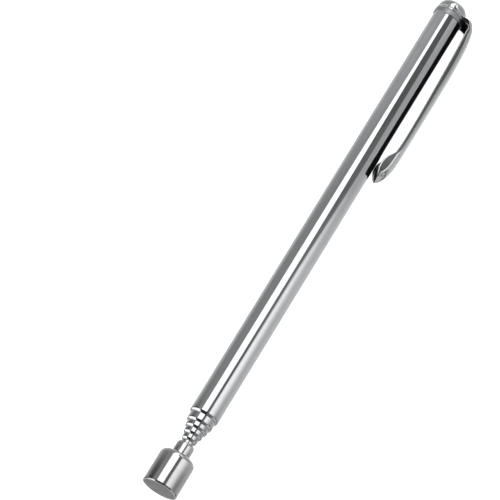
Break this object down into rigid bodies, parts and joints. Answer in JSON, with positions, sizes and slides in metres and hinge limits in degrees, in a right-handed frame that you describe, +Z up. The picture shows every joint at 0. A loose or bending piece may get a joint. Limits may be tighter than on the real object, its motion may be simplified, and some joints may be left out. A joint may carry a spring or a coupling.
{
  "type": "telescopic magnetic pickup tool",
  "caption": "Pocket pickup tool: a telescoping chromed tube with a magnet head at its thin end and a domed cap with a spring pocket clip at the other.",
  "frame": {"origin": "centre of the magnet's flat pick-up face", "axes": "+X along the tool from the magnet face to the domed cap, +Z up as the closed tool lies down, -Y towards the pocket clip, which is rolled 9 degrees below it"},
  "size_m": [0.1271, 0.0111, 0.008],
  "materials": {
    "chrome": "polished chrome plating on steel or brass",
    "bright_nickel": "bright nickel plating",
    "magnet_plating": "dull nickel-plated magnet face",
    "bronze": "spring bronze strip",
    "brass": "turned brass",
    "steel": "plain turned steel"
  },
  "bodies": {
    "handle": {"outer_tube": "chrome", "rear_plug": "brass", "cap_collar": "chrome", "clip_ring": "chrome", "end_cap": "chrome"},
    "clip": {"clip_arm": "chrome"},
    "shims_2": {"shim_2_upper": "bronze", "shim_2_lower": "bronze"},
    "section_2": {"tube_2": "chrome"},
    "shims_3": {"shim_3_upper": "bronze", "shim_3_lower": "bronze"},
    "section_3": {"tube_3": "chrome"},
    "shims_4": {"shim_4_upper": "bronze", "shim_4_lower": "bronze"},
    "section_4": {"tube_4": "chrome"},
    "shims_5": {"shim_5_upper": "bronze", "shim_5_lower": "bronze"},
    "section_5": {"tube_5": "chrome"},
    "shims_6": {"shim_6_upper": "bronze", "shim_6_lower": "bronze"},
    "section_6": {"inner_rod": "chrome", "magnet_cup": "bright_nickel", "backing_disc": "steel", "magnet": "magnet_plating"}
  },
  "joints": [
    {"name": "clip_flex", "type": "hinge", "parent": "handle", "child": "clip", "pos_m": [0.1212, -0.00602, -0.00095], "axis": [0, -0.1564, 0.9877], "range_deg": [0, 6], "stiffness_Nm_per_rad": 2},
    {"name": "slide_2", "type": "slide", "parent": "handle", "child": "shims_2", "axis": [-1, 0, 0], "range_m": [0, 0.0958]},
    {"name": "spin_2", "type": "hinge", "parent": "shims_2", "child": "section_2", "pos_m": [0.1192, 0, 0], "axis": [-1, 0, 0], "continuous": true},
    {"name": "slide_3", "type": "slide", "parent": "section_2", "child": "shims_3", "axis": [-1, 0, 0], "range_m": [0, 0.0977]},
    {"name": "spin_3", "type": "hinge", "parent": "shims_3", "child": "section_3", "pos_m": [0.1192, 0, 0], "axis": [-1, 0, 0], "continuous": true},
    {"name": "slide_4", "type": "slide", "parent": "section_3", "child": "shims_4", "axis": [-1, 0, 0], "range_m": [0, 0.0991]},
    {"name": "spin_4", "type": "hinge", "parent": "shims_4", "child": "section_4", "pos_m": [0.1192, 0, 0], "axis": [-1, 0, 0], "continuous": true},
    {"name": "slide_5", "type": "slide", "parent": "section_4", "child": "shims_5", "axis": [-1, 0, 0], "range_m": [0, 0.1005]},
    {"name": "spin_5", "type": "hinge", "parent": "shims_5", "child": "section_5", "pos_m": [0.1192, 0, 0], "axis": [-1, 0, 0], "continuous": true},
    {"name": "slide_6", "type": "slide", "parent": "section_5", "child": "shims_6", "axis": [-1, 0, 0], "range_m": [0, 0.1019]},
    {"name": "spin_6", "type": "hinge", "parent": "shims_6", "child": "section_6", "pos_m": [0.1192, 0, 0], "axis": [-1, 0, 0], "continuous": true}
  ]
}
